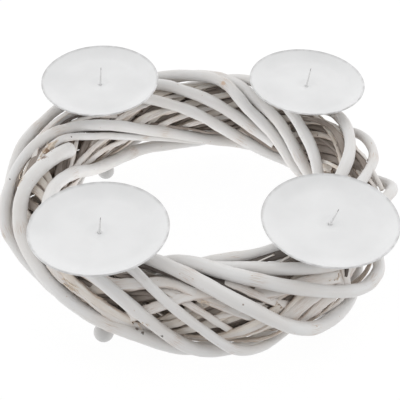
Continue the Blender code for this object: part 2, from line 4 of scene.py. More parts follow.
import bmesh
import bpy
import numpy as np
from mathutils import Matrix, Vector

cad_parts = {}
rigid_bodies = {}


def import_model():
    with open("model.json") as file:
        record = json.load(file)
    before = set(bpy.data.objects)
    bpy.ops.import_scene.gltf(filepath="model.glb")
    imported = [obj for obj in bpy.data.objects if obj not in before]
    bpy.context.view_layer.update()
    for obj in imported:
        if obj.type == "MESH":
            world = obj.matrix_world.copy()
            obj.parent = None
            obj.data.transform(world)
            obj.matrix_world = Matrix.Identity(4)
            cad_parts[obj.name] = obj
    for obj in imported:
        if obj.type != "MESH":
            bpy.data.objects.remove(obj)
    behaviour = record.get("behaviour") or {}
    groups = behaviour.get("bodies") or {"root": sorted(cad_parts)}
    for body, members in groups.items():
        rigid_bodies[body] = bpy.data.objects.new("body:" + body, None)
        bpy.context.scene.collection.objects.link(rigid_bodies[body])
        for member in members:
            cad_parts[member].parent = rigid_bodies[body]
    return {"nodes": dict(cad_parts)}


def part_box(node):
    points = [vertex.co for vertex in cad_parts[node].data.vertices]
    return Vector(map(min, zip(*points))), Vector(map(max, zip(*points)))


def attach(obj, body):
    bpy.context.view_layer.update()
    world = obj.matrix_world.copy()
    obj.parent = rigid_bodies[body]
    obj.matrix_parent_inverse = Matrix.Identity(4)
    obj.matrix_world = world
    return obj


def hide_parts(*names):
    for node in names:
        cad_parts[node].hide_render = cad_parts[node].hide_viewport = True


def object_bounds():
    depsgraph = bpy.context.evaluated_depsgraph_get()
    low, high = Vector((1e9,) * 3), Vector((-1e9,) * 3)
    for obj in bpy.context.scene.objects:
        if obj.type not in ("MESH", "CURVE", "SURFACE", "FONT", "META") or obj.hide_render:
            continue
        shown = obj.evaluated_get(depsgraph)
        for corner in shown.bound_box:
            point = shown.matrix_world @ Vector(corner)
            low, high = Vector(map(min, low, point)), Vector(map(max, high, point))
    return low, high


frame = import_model()
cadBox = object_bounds()

print("camera, light and floor")

# The photo's view: the camera looks at a point near the middle of the ring
view = {
    "lookAt": (0.0, 0.00745, 0.040),
    "downAngle": 39.63,
    "distance": 0.7436,
    "fieldOfView": 24.25,
    "photoSide": 400,
}
light = {
    "fromRight": 1.3,
    "fromLeft": 1.42,
    "fromBehind": 1.2,
    "fromFront": 0.45,
    "fromAbove": 0.885,
    "fromBelow": 1.05,
    "fromMiddle": 2.9,
    "middleRadius": 0.045,
    "middleHeight": 0.001,
    "floorGlow": 1.03,
    "floorShade": 0.10,
    "floorColour": (0.95, 0.95, 0.95, 1),
    "floorReach": 8,
}


def addObject(name, data):
    made = bpy.data.objects.new(name, data)
    bpy.context.scene.collection.objects.link(made)
    return made


def addCamera():
    camera = addObject("photoCamera", bpy.data.cameras.new("photoCamera"))
    down = math.radians(view["downAngle"])
    back = Vector((0, -math.cos(down), math.sin(down)))
    camera.location = Vector(view["lookAt"]) + back * view["distance"]
    camera.rotation_euler = (math.pi / 2 - down, 0, 0)
    camera.data.sensor_fit = "HORIZONTAL"
    camera.data.angle = math.radians(view["fieldOfView"])
    bpy.context.scene.camera = camera


def photoRay(spot):  # from the camera through a point of the photo
    down = math.radians(view["downAngle"])
    back = np.array((0, -math.cos(down), math.sin(down)))
    half = view["photoSide"] / 2
    perPixel = math.tan(math.radians(view["fieldOfView"]) / 2) / half
    right = np.array((1.0, 0.0, 0.0))
    way = right * (spot[0] - half) * perPixel + np.cross(back, right) * (half - spot[1]) * perPixel - back
    return np.array(view["lookAt"]) + back * view["distance"], way / np.linalg.norm(way)


def addNode(tree, kind, inputs=(), **settings):
    node = tree.nodes.new(kind)
    for name, value in settings.items():
        setattr(node, name, value)
    for socket, value in dict(inputs).items():
        target = node.inputs[socket]
        if isinstance(value, bpy.types.NodeSocket):
            tree.links.new(value, target)
        else:
            target.default_value = value
    return node


def firstOut(tree, kind, inputs=(), **settings):  # adds a node and gives its first output
    return addNode(tree, kind, inputs, **settings).outputs[0]


def mixed(tree, share, first, second):
    node = addNode(tree, "ShaderNodeMix", data_type="RGBA")
    for socket, value in (("Factor_Float", share), ("A_Color", first), ("B_Color", second)):
        target = next(s for s in node.inputs if s.identifier == socket)
        if isinstance(value, bpy.types.NodeSocket):
            tree.links.new(value, target)
        else:
            target.default_value = value
    return next(s for s in node.outputs if s.identifier == "Result_Color")


def spread(tree, value, low, high, bottom=0.0, top=1.0):
    return addNode(tree, "ShaderNodeMapRange", {
        "Value": value, "From Min": low, "From Max": high, "To Min": bottom, "To Max": top}).outputs["Result"]


def maths(tree, first, second=0.0, operation="MULTIPLY"):
    return firstOut(tree, "ShaderNodeMath", {0: first, 1: second}, operation=operation)


def noise(tree, place, scale, detail=2.0, roughness=0.5, seed=None):
    inputs = {"Vector": place, "Scale": scale, "Detail": detail, "Roughness": roughness}
    if seed is None:
        return addNode(tree, "ShaderNodeTexNoise", inputs).outputs["Fac"]
    return addNode(tree, "ShaderNodeTexNoise", {**inputs, "W": seed}, noise_dimensions="4D").outputs["Fac"]


def fromMesh(tree, label, output="Fac"):  # what the mesh's own attribute says
    return addNode(tree, "ShaderNodeAttribute", attribute_name=label).outputs[output]


def addBump(tree, shader, strength, distance, height):
    bump = addNode(tree, "ShaderNodeBump", {"Strength": strength, "Distance": distance, "Height": height})
    tree.links.new(bump.outputs[0], shader.inputs["Normal"])


def addSky():  # a light tent: one brightness from each of six sides, blended smoothly between them
    world = bpy.data.worlds.new("lightTent")
    world.use_nodes = True
    bpy.context.scene.world = world
    tree = world.node_tree
    tree.nodes.clear()
    way = addNode(tree, "ShaderNodeTexCoord").outputs["Generated"]
    way = firstOut(tree, "ShaderNodeVectorMath", {0: way}, operation="NORMALIZE")
    parts = addNode(tree, "ShaderNodeSeparateXYZ", {0: way}).outputs
    total = None
    for part, (plus, minus) in zip(parts, (
            ("fromRight", "fromLeft"), ("fromBehind", "fromFront"), ("fromAbove", "fromBelow"))):
        side = maths(tree, part, 0.0, "GREATER_THAN")
        bright = spread(tree, side, 0.0, 1.0, light[minus], light[plus])
        share = maths(tree, maths(tree, part, part), bright)
        total = share if total is None else maths(tree, total, share, "ADD")
    sky = addNode(tree, "ShaderNodeBackground", {"Color": (1, 1, 1, 1), "Strength": total})
    addNode(tree, "ShaderNodeOutputWorld", {"Surface": sky.outputs[0]})


def addFloor():
    far = light["floorReach"]
    mesh = bpy.data.meshes.new("paleFloor")
    mesh.from_pydata([(-far, -far, 0), (far, -far, 0), (far, far, 0), (-far, far, 0)], [], [(0, 1, 2, 3)])
    floor = addObject("paleFloor", mesh)
    white = bpy.data.materials.new("paleFloor")
    white.use_nodes = True
    tree = white.node_tree
    tree.nodes.clear()
    glow = addNode(tree, "ShaderNodeEmission", {"Strength": light["floorGlow"]})
    matt = addNode(tree, "ShaderNodeBsdfDiffuse", {"Color": light["floorColour"]})
    both = addNode(tree, "ShaderNodeMixShader", {
        0: light["floorShade"], 1: glow.outputs[0], 2: matt.outputs[0]})
    addNode(tree, "ShaderNodeOutputMaterial", {"Surface": both.outputs[0]})
    mesh.materials.append(white)
    floor.visible_diffuse = False
    floor.visible_glossy = False


def addMiddleLight():  # the bright table inside the ring lights the ring's inner side from below
    lamp = bpy.data.lights.new("tableGlow", "AREA")
    lamp.shape = "DISK"
    lamp.size = 2 * light["middleRadius"]
    lamp.energy = light["fromMiddle"] * math.pi ** 2 * light["middleRadius"] ** 2
    glow = addObject("tableGlow", lamp)
    glow.location = (0, 0, light["middleHeight"])
    glow.rotation_euler = (math.pi, 0, 0)
    glow.visible_camera = False
    glow.visible_glossy = False


addCamera()
addSky()
addFloor()
addMiddleLight()
bpy.context.scene.view_settings.view_transform = "Standard"

print("materials")

canePaint = {
    "white": (0.76, 0.756, 0.752, 1),
    "warm": (0.72, 0.695, 0.67, 1),
    "rawWood": (0.55, 0.44, 0.36, 1),
    "grainScale": 90,
    "patchScale": 14,
    "rawFrom": 0.62,
}
stripPaint = {
    "white": (0.76, 0.73, 0.69, 1),
    "warm": (0.64, 0.56, 0.48, 1),
    "rawWood": (0.44, 0.32, 0.24, 1),
    "grainScale": 120,
    "patchScale": 30,
    "rawFrom": 0.56,
}
# the plate's darker rim colour is painted shade along the rolled edge, broken up like chipped lacquer
plateLacquer = {"colour": (0.82, 0.822, 0.825, 1), "rimWearAndShade": (0.30, 0.29, 0.28, 1)}


def newMaterial(name):
    made = bpy.data.materials.new(name)
    made.use_nodes = True
    return made, made.node_tree, made.node_tree.nodes["Principled BSDF"]


def grainPlace(tree, stretch):
    return firstOut(tree, "ShaderNodeMapping", {
        "Vector": fromMesh(tree, "grain", "Vector"), "Scale": (1, 1, stretch)})


# How the paint lies on any piece of wood. A pair is where a pattern starts and where it is full, and for the
# bump its strength and its depth.
woodLook = {
    "alongStretch": 0.06,
    "aroundStretch": 0.5,
    "patchWarm": (0.42, 0.70),
    "streakWarm": (0.40, 0.72),
    "streakShare": 0.55,
    "rawStreak": (0.60, 0.74),
    "rawFade": 0.12,
    "wornEdge": (0.34, 0.70),
    "wornKnot": (0.45, 0.75),
    "specks": (0.735, 0.76),
    "streakHeight": 0.6,
    "fineHeight": 0.25,
    "pitHeight": 0.35,
    "bump": (0.35, 0.0006),
}


def woodPaint(name, values, roughness, edgeWear):
    made, tree, shader = newMaterial(name)
    look = woodLook
    along = grainPlace(tree, look["alongStretch"])
    around = grainPlace(tree, look["aroundStretch"])
    streaks = noise(tree, along, values["grainScale"] * 6, 5.0, 0.6)
    fine = noise(tree, along, values["grainScale"] * 22, 3.0)
    patches = noise(tree, around, values["patchScale"] * 3, 4.0, 0.55)
    pits = noise(tree, around, values["grainScale"] * 5)
    colour = mixed(tree, spread(tree, patches, *look["patchWarm"]), values["white"], values["warm"])
    shade = spread(tree, streaks, *look["streakWarm"], 0.0, look["streakShare"])
    colour = mixed(tree, shade, colour, values["warm"])
    start = values["rawFrom"]
    raw = spread(tree, patches, start, start + look["rawFade"])
    raw = maths(tree, spread(tree, streaks, *look["rawStreak"]), raw)
    if edgeWear:
        edge = maths(tree, fromMesh(tree, "edge"), spread(tree, fine, *look["wornEdge"]))
        raw = maths(tree, raw, edge, "MAXIMUM")
    knot = maths(tree, fromMesh(tree, "knot"), spread(tree, fine, *look["wornKnot"]))
    raw = maths(tree, raw, knot, "MAXIMUM")
    colour = mixed(tree, raw, colour, values["rawWood"])
    colour = mixed(tree, spread(tree, pits, *look["specks"]), colour, values["rawWood"])
    tree.links.new(colour, shader.inputs["Base Color"])
    rough = spread(tree, streaks, 0.3, 0.7, roughness - 0.08, roughness + 0.12)
    tree.links.new(rough, shader.inputs["Roughness"])
    height = maths(tree, streaks, look["streakHeight"])
    height = maths(tree, height, maths(tree, fine, look["fineHeight"]), "ADD")
    height = maths(tree, height, maths(tree, pits, look["pitHeight"]), "ADD")
    addBump(tree, shader, *look["bump"], height)
    return made


def endWood(name, colours):
    made, tree, shader = newMaterial(name)
    grain = fromMesh(tree, "grain", "Vector")
    flat = firstOut(tree, "ShaderNodeMapping", {"Vector": grain, "Scale": (1, 1, 0)})
    rings = noise(tree, flat, 900.0, 4.0)
    middle = addNode(tree, "ShaderNodeVectorMath", {0: flat}, operation="LENGTH").outputs["Value"]
    pith = spread(tree, middle, 0.0005, 0.0012, 1.0, 0.0)
    colour = mixed(tree, spread(tree, rings, 0.35, 0.65), colours[0], colours[1])
    colour = mixed(tree, pith, colour, colours[2])
    tree.links.new(colour, shader.inputs["Base Color"])
    shader.inputs["Roughness"].default_value = 0.85
    addBump(tree, shader, 0.4, 0.0004, rings)
    return made


def lacquer(name, colour, roughness, rimWearAndShade=None):
    made, tree, shader = newMaterial(name)
    place = addNode(tree, "ShaderNodeTexCoord").outputs["Object"]
    cloud = noise(tree, place, 35.0, 3.0)
    orange = noise(tree, place, 420.0)
    darker = tuple(0.94 * c for c in colour[:3]) + (1,)
    shown = mixed(tree, spread(tree, cloud, 0.35, 0.7), colour, darker)
    # darker where the mesh marks it: along a plate's rim this is painted shade broken up like chipped lacquer
    if rimWearAndShade:
        chip = noise(tree, place, 160.0, 4.0)
        wearAndShade = maths(tree, fromMesh(tree, "wearAndShade"), spread(tree, chip, 0.30, 0.60))
        shown = mixed(tree, wearAndShade, shown, rimWearAndShade)
    tree.links.new(shown, shader.inputs["Base Color"])
    rough = spread(tree, cloud, 0.3, 0.7, roughness - 0.04, roughness + 0.08)
    tree.links.new(rough, shader.inputs["Roughness"])
    addBump(tree, shader, 0.08, 0.0003, orange)
    return made


def pinMetal(name, colours):
    made, tree, shader = newMaterial(name)
    place = addNode(tree, "ShaderNodeTexCoord").outputs["Object"]
    scuff = noise(tree, place, 700.0, 4.0)
    shown = mixed(tree, spread(tree, scuff, 0.4, 0.7), colours[0], colours[1])
    shown = mixed(tree, fromMesh(tree, "wearAndShade"), shown, colours[2])
    tree.links.new(shown, shader.inputs["Base Color"])
    tree.links.new(spread(tree, scuff, 0.3, 0.7, 0.32, 0.5), shader.inputs["Roughness"])
    addBump(tree, shader, 0.2, 0.0002, scuff)
    return made


# Dark colours of the strands inside the ring: partly the raw willow's own colour, partly painted shade that
# darkens the gaps between the canes
rawCoreAndShadeColours = {
    "white": (0.33, 0.287, 0.256, 1),
    "warm": (0.235, 0.192, 0.162, 1),
    "rawWood": (0.14, 0.105, 0.083, 1),
    "grainScale": 120,
    "patchScale": 30,
    "rawFrom": 0.50,
}
# Painted shade: near-black colours for strips put where the ring shows only deep shade
paintedShadeColours = {
    "white": (0.115, 0.098, 0.088, 1),
    "warm": (0.083, 0.067, 0.058, 1),
    "rawWood": (0.060, 0.045, 0.037, 1),
    "grainScale": 120,
    "patchScale": 30,
    "rawFrom": 0.50,
}
caneMaterial = woodPaint("whiteCanePaint", canePaint, 0.52, edgeWear=False)
stripMaterial = woodPaint("thinStripWhitewash", stripPaint, 0.66, edgeWear=True)
caneEndMaterial = endWood("cutCaneWood", (
    (0.62, 0.50, 0.40, 1), (0.50, 0.38, 0.29, 1), (0.28, 0.18, 0.12, 1)))
plateMaterial = lacquer("whitePlateLacquer", plateLacquer["colour"], 0.34, plateLacquer["rimWearAndShade"])
# the feet's white paint is made grey, 0.64 against 0.82 on the plates: painted shade for the shade the feet
# stand in under the ring
footPaintGreyedForShade = lacquer("whiteFootPaintWithShade", (0.64, 0.635, 0.63, 1), 0.42)
pinMaterial = pinMetal("greyPinLacquer", (
    (0.80, 0.80, 0.80, 1), (0.70, 0.70, 0.69, 1), (0.10, 0.095, 0.09, 1)))
rawCoreAndShadeMaterial = woodPaint("rawCoreStrandsAndShade", rawCoreAndShadeColours, 0.75, edgeWear=True)
# painted shade for the deep gaps between and under the canes
paintedShadeMaterial = woodPaint("paintedShadeInnerStrips", paintedShadeColours, 0.8, edgeWear=True)


print("routes of the canes and strips")


def pointsOf(corners):
    return np.array([corner.co[:] for corner in corners])


def mergedCopy(nodeName):
    shape = bmesh.new()
    shape.from_mesh(frame["nodes"][nodeName].data)
    bmesh.ops.remove_doubles(shape, verts=shape.verts, dist=1e-5)
    return shape


def ringsFrom(start):  # the rings of corners met on the way from a tube's tip to its other end
    rings = [[start]]
    seen = {start}
    while rings[-1]:
        nearby = []
        for vertex in rings[-1]:
            for edge in vertex.link_edges:
                other = edge.other_vert(vertex)
                if other not in seen:
                    seen.add(other)
                    nearby.append(other)
        rings.append(nearby)
    return rings[:-1]


def readTube(nodeName, sides):
    shape = mergedCopy(nodeName)
    for start in (vertex for vertex in shape.verts if len(vertex.link_edges) == sides):
        rings = ringsFrom(start)
        if len(rings[-1]) == 1 and all(len(ring) == sides for ring in rings[1:-1]):
            break
    corners = np.array([pointsOf(ring) for ring in rings[1:-1]])
    shape.free()
    return corners


ring = {
    "centre": (-0.0017, 0.0008),
    "radius": 0.1217,
    "height": 0.0513,
    "halfWide": 0.0282,
    "halfHigh": 0.0346,
}
ringMiddle = np.array(ring["centre"])
caneNames = sorted(name for name in frame["nodes"] if name.startswith("cane_"))
stripNames = sorted(name for name in frame["nodes"] if name.startswith("strip_"))
caneCorners = {name: readTube(name, 6) for name in caneNames}
stripCorners = {name: readTube(name, 4) for name in stripNames}


def outwardAt(points):  # away from the circle that the whole bundle is wound round
    flat = points[:, :2] - ringMiddle
    reach = np.hypot(*flat.T)[:, None]
    core = ringMiddle + flat / reach * ring["radius"]
    core = np.hstack([core, np.full((len(points), 1), ring["height"])])
    away = points - core
    return away / np.linalg.norm(away, axis=1, keepdims=True)


def addValues(mesh, **perPoint):
    for label, values in perPoint.items():
        values = np.asarray(values, np.float32)
        kind, key = ("FLOAT_VECTOR", "vector") if values.ndim == 2 else ("FLOAT", "value")
        mesh.attributes.new(label, kind, "POINT").data.foreach_set(key, values.ravel())


def routeMesh(name, points, **perPoint):
    mesh = bpy.data.meshes.new(name)
    mesh.from_pydata(points.tolist(), [(k, k + 1) for k in range(len(points) - 1)], [])
    addValues(mesh, **perPoint)
    return mesh


def caneRoute(name):
    corners = caneCorners[name]
    middle = corners.mean(1)
    girth = np.linalg.norm(corners - middle[:, None], axis=2).mean(1)
    return routeMesh(name, middle, girth=girth, outward=outwardAt(middle))


def stripRoute(name):
    corners = stripCorners[name]
    middle = corners.mean(1)
    along = np.gradient(middle, axis=0)
    along /= np.linalg.norm(along, axis=1, keepdims=True)
    out = outwardAt(middle)
    out -= (out * along).sum(1, keepdims=True) * along
    out /= np.linalg.norm(out, axis=1, keepdims=True)
    across = np.cross(along, out)
    spokes = corners - middle[:, None]
    wide = np.abs((spokes * across[:, None]).sum(2)).mean(1)
    deep = np.abs((spokes * out[:, None]).sum(2)).mean(1)
    return routeMesh(name, middle, girth=wide, outward=out), float((deep / wide).mean())


print("winding the canes and strips")

caneShape = {
    "Step": 0.0022,
    "Sides": 20,
    "Size": 0.955,
    "Swell": 0.05,
    "SwellEvery": 0.03,
    "KnotEvery": 0.105,
    "KnotRise": 0.07,
    "Wander": 0.0004,
    "Lumps": 0.00022,
    "LumpScale": 300.0,
    "CutEdge": 0.00035,
}
stripShape = {
    "Step": 0.0026,
    "Sides": 16,
    "Size": 1.12,
    "Swell": 0.06,
    "SwellEvery": 0.02,
    "KnotEvery": 0.15,
    "KnotRise": 0.03,
    "Wander": 0.0003,
    "Lumps": 0.00018,
    "LumpScale": 420.0,
    "CutEdge": 0.0002,
    "Flatness": 0.4,
    "Fray": 0.0006,
    "Tear": 0.0016,
}


# How a rod or strip is laid out: shares of its length, its width or its depth, and the scales of its patterns
woundLook = {
    "knotSharpness": 40.0,
    "driftScale": 40.0,
    "splinterScale": 900.0,
    "cutEnd": (0.4995, 0.49999),
    "rawEdge": (0.72, 0.96),
    "rawBack": (-0.1, -0.5, 0.0, 0.75),
    "frayRange": (0.35, 0.65, -1.0, 0.4),
    "roundFace": 0.6,
    "roundEdge": 0.9,
    "bevelScale": 0.86,
}


def startTree(name, sizes):
    tree = bpy.data.node_groups.new(name, "GeometryNodeTree")
    tree.interface.new_socket("Geometry", in_out="INPUT", socket_type="NodeSocketGeometry")
    tree.interface.new_socket("Geometry", in_out="OUTPUT", socket_type="NodeSocketGeometry")
    for label, value in sizes.items():
        kind = "NodeSocketInt" if isinstance(value, int) else "NodeSocketFloat"
        tree.interface.new_socket(label, in_out="INPUT", socket_type=kind).default_value = value
    tree.interface.new_socket("Seed", in_out="INPUT", socket_type="NodeSocketFloat")
    tree.interface.new_socket("Paint", in_out="INPUT", socket_type="NodeSocketMaterial")
    tree.interface.new_socket("EndWood", in_out="INPUT", socket_type="NodeSocketMaterial")
    return tree, tree.nodes.new("NodeGroupInput").outputs


def finishTree(tree, geometry, size, caps):
    whole = firstOut(tree, "GeometryNodeRealizeInstances", {0: geometry})
    sides = firstOut(tree, "FunctionNodeBooleanMath", {0: caps}, operation="NOT")
    whole = firstOut(tree, "GeometryNodeSetShadeSmooth", {
        "Geometry": whole, "Shade Smooth": sides})
    whole = firstOut(tree, "GeometryNodeSetMaterial", {
        "Geometry": whole, "Material": size["Paint"]})
    whole = firstOut(tree, "GeometryNodeSetMaterial", {
        "Geometry": whole, "Selection": caps, "Material": size["EndWood"]})
    tree.links.new(whole, tree.nodes.new("NodeGroupOutput").inputs[0])


def stored(tree, geometry, label, value, kind="FLOAT"):
    return firstOut(tree, "GeometryNodeStoreNamedAttribute", {
        "Geometry": geometry, "Name": label, "Value": value}, data_type=kind, domain="POINT")


def named(tree, label, kind="FLOAT"):
    return firstOut(tree, "GeometryNodeInputNamedAttribute", {"Name": label}, data_type=kind)


def scaled(tree, vector, factor):
    return firstOut(tree, "ShaderNodeVectorMath", {0: vector, "Scale": factor}, operation="SCALE")


def power(tree, value, exponent):  # keeps the sign of what it raises
    size = maths(tree, maths(tree, value, operation="ABSOLUTE"), exponent, "POWER")
    return maths(tree, size, maths(tree, value, operation="SIGN"))


def moved(tree, geometry, offset):
    return firstOut(tree, "GeometryNodeSetPosition", {"Geometry": geometry, "Offset": offset})


def buildWoundTree(name, sizes, flat):
    tree, size = startTree(name, sizes)
    look = woundLook
    curve = firstOut(tree, "GeometryNodeMeshToCurve", {0: size["Geometry"]})
    curve = firstOut(tree, "GeometryNodeCurveSplineType", {0: curve}, spline_type="CATMULL_ROM")
    curve = firstOut(tree, "GeometryNodeResampleCurve", {
        "Curve": curve, "Length": size["Step"]}, mode="LENGTH")
    length = addNode(tree, "GeometryNodeSplineParameter").outputs["Length"]

    # girth along the route: slow swelling, and a knot now and then
    cell = maths(tree, maths(tree, length, size["SwellEvery"], "DIVIDE"), size["Seed"], "ADD")
    swell = addNode(tree, "ShaderNodeTexNoise", {
        "W": cell, "Scale": 1.0, "Detail": 1.0}, noise_dimensions="1D").outputs["Fac"]
    swell = spread(tree, swell, 0.3, 0.7, -1.0, 1.0)
    cell = maths(tree, maths(tree, length, size["KnotEvery"], "DIVIDE"), size["Seed"], "ADD")
    wave = maths(tree, maths(tree, cell, 2 * math.pi), operation="SINE")
    knot = maths(tree, spread(tree, wave, -1.0, 1.0), look["knotSharpness"], "POWER")
    girth = maths(tree, named(tree, "girth"), size["Size"])
    for bump, rise in ((swell, size["Swell"]), (knot, size["KnotRise"])):
        girth = maths(tree, girth, maths(tree, maths(tree, bump, rise), 1.0, "ADD"))
    curve = stored(tree, curve, "girth", girth)
    curve = stored(tree, curve, "knot", knot)
    curve = stored(tree, curve, "along", maths(tree, length, size["Seed"], "ADD"))
    share = addNode(tree, "GeometryNodeSplineParameter").outputs["Factor"]
    fromMiddle = maths(tree, maths(tree, share, 0.5, "SUBTRACT"), operation="ABSOLUTE")
    curve = stored(tree, curve, "ending", spread(tree, fromMiddle, *look["cutEnd"]))
    curve = stored(tree, curve, "onward", firstOut(tree, "GeometryNodeInputTangent"), "FLOAT_VECTOR")

    # the route wanders a little
    place = firstOut(tree, "GeometryNodeInputPosition")
    drift = addNode(tree, "ShaderNodeTexNoise", {
        "Vector": place, "W": size["Seed"], "Scale": look["driftScale"], "Detail": 1.0},
        noise_dimensions="4D")
    drift = firstOut(tree, "ShaderNodeVectorMath", {
        0: drift.outputs["Color"], 1: (0.5, 0.5, 0.5)}, operation="SUBTRACT")
    curve = moved(tree, curve, scaled(tree, drift, size["Wander"]))
    if flat:
        curve = firstOut(tree, "GeometryNodeSetCurveNormal", {
            "Curve": curve, "Normal": named(tree, "outward", "FLOAT_VECTOR")}, mode="FREE")

    # the section: round, or pressed flat with raw edges
    outline = firstOut(tree, "GeometryNodeCurvePrimitiveCircle", {
        "Resolution": size["Sides"], "Radius": 1.0})
    corner = addNode(tree, "ShaderNodeSeparateXYZ", {0: place}).outputs
    if flat:
        rawEdge = spread(tree, maths(tree, corner["Y"], operation="ABSOLUTE"), *look["rawEdge"])
        rawBack = spread(tree, corner["X"], *look["rawBack"])
        outline = stored(tree, outline, "edge", maths(tree, rawEdge, rawBack, "MAXIMUM"))
        thick = maths(tree, power(tree, corner["X"], look["roundFace"]), size["Flatness"])
        pressed = firstOut(tree, "ShaderNodeCombineXYZ", {
            0: thick, 1: power(tree, corner["Y"], look["roundEdge"])})
        outline = firstOut(tree, "GeometryNodeSetPosition", {
            "Geometry": outline, "Position": pressed})
    outline = stored(tree, outline, "turn", place, "FLOAT_VECTOR")

    # the skin, with bevelled ends
    skin = firstOut(tree, "GeometryNodeCurveToMesh", {
        "Curve": curve, "Profile Curve": outline, "Scale": named(tree, "girth"), "Fill Caps": True})
    neighbours = firstOut(tree, "GeometryNodeInputMeshFaceNeighbors")
    caps = firstOut(tree, "FunctionNodeCompare", {
        2: neighbours, 3: 4}, data_type="INT", operation="GREATER_THAN")
    bevel = addNode(tree, "GeometryNodeExtrudeMesh", {
        "Mesh": skin, "Selection": caps, "Offset Scale": size["CutEdge"], "Individual": False})
    shaped = firstOut(tree, "GeometryNodeScaleElements", {
        "Geometry": bevel.outputs["Mesh"], "Selection": bevel.outputs["Top"],
        "Scale": look["bevelScale"]})

    # lumps, frayed edges and torn ends
    turn = named(tree, "turn", "FLOAT_VECTOR")
    lump = noise(tree, place, size["LumpScale"], 1.0, seed=size["Seed"])
    normal = firstOut(tree, "GeometryNodeInputNormal")
    lift = maths(tree, spread(tree, lump, 0.3, 0.7, -0.5, 0.5), size["Lumps"])
    if flat:
        splinter = noise(tree, place, look["splinterScale"], seed=size["Seed"])
        fray = maths(tree, spread(tree, splinter, *look["frayRange"]), size["Fray"])
        lift = maths(tree, lift, maths(tree, fray, named(tree, "edge")), "ADD")
    shaped = moved(tree, shaped, scaled(tree, normal, lift))
    if flat:
        jag = addNode(tree, "ShaderNodeTexWhiteNoise", {
            "Vector": turn, "W": size["Seed"]}, noise_dimensions="4D").outputs["Value"]
        tear = maths(tree, spread(tree, jag, 0.0, 1.0, -1.0, 1.0), size["Tear"])
        tear = maths(tree, tear, named(tree, "ending"))
        shaped = moved(tree, shaped, scaled(tree, named(tree, "onward", "FLOAT_VECTOR"), tear))
    grain = addNode(tree, "ShaderNodeSeparateXYZ", {0: scaled(tree, turn, named(tree, "girth"))}).outputs
    grain = firstOut(tree, "ShaderNodeCombineXYZ", {
        0: grain[0], 1: grain[1], 2: named(tree, "along")})
    shaped = stored(tree, shaped, "grain", grain, "FLOAT_VECTOR")
    finishTree(tree, shaped, size, caps)
    return tree


def grow(name, mesh, tree, values):
    piece = addObject(name, mesh)
    modifier = piece.modifiers.new(tree.name, "NODES")
    modifier.node_group = tree
    for item in tree.interface.items_tree:
        if item.in_out == "INPUT" and item.name in values:
            modifier[item.identifier] = values[item.name]
    graph = bpy.context.evaluated_depsgraph_get()
    grown = bpy.data.meshes.new_from_object(piece.evaluated_get(graph), depsgraph=graph)
    piece.modifiers.remove(modifier)
    piece.data = grown
    return piece


pieces = []


def standsFor(piece, nodeName):
    pieces.append(piece)
    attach(piece, "root")
    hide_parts(nodeName)


def belongs(piece):  # a piece that the frame doesn't have
    pieces.append(piece)
    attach(piece, "root")


caneTree = buildWoundTree("windCane", caneShape, flat=False)
stripTree = buildWoundTree("peelStrip", stripShape, flat=True)
for number, name in enumerate(caneNames):
    piece = grow(f"painted_{name}", caneRoute(name), caneTree, {
        **caneShape, "Seed": 3.7 * number + 1.3, "Paint": caneMaterial, "EndWood": caneEndMaterial})
    standsFor(piece, name)
for number, name in enumerate(stripNames):
    route, flatness = stripRoute(name)
    piece = grow(f"peeled_{name}", route, stripTree, {
        **stripShape, "Flatness": flatness, "Seed": 2.9 * number + 71.0,
        "Paint": stripMaterial, "EndWood": caneEndMaterial})
    standsFor(piece, name)

# Darker places on the canes: where the photo shows them, how wide the place is, and the colour that shows.
# The knee and the nick are bare wood where the paint is gone; in the opening the raw wood darkens downwards
# with painted shade; the notch is painted shade; the end and the specks are dark spots
marks = {
    "knee": ((222, 84), 0.0026, (0.62, 0.47, 0.36, 1)),
    # the opening's raw wood, darkened downwards with painted shade
    "shadedOpeningLow": ((41, 156), 0.0046, (0.20, 0.13, 0.085, 1)),
    "shadedOpeningMiddle": ((46, 149), 0.0050, (0.30, 0.20, 0.13, 1)),
    "openingTop": ((52, 144), 0.0036, (0.52, 0.40, 0.30, 1)),
    "lowerEnd": ((138, 327), 0.0016, (0.16, 0.13, 0.11, 1)),
    "shadedLowerNotch": ((143, 332), 0.0013, (0.10, 0.09, 0.08, 1)),
    # painted shade in the notch
    "lowerSpeck": ((163, 338), 0.0011, (0.10, 0.09, 0.08, 1)),
    "leftSpeck": ((10, 178), 0.0009, (0.14, 0.12, 0.11, 1)),
    "backSpeck": ((73, 137), 0.0009, (0.12, 0.10, 0.09, 1)),
    "backNick": ((68, 81), 0.0008, (0.30, 0.24, 0.20, 1)),
}


seenWithin = 0.0016  # a point this near to the camera's ray lies on it


def seenSpot(points, spot):  # the point that the camera sees there
    start, way = photoRay(spot)
    offset = points - start
    along = offset @ way
    aside = np.linalg.norm(offset - along[:, None] * way, axis=1)
    return points[int(np.argmin(np.where(aside < seenWithin, along, along + 1)))]


def addMarks():
    points = np.concatenate([
        pointsOf(bpy.data.objects[f"painted_{name}"].data.vertices) for name in caneNames])
    tree = caneMaterial.node_tree
    paint = tree.nodes["Principled BSDF"].inputs["Base Color"]
    colour = paint.links[0].from_socket
    place = addNode(tree, "ShaderNodeTexCoord").outputs["Object"]
    ragged = noise(tree, place, 900.0, 3.0)
    for spot, wide, shown in marks.values():
        away = addNode(tree, "ShaderNodeVectorMath", {
            0: place, 1: tuple(map(float, seenSpot(points, spot)))}, operation="DISTANCE").outputs["Value"]
        away = maths(tree, away, spread(tree, ragged, 0.3, 0.7, 0.6, 1.5))
        colour = mixed(tree, spread(tree, away, 0.5 * wide, wide, 1.0, 0.0), colour, shown)
    tree.links.new(colour, paint)


addMarks()

print("filling the core")

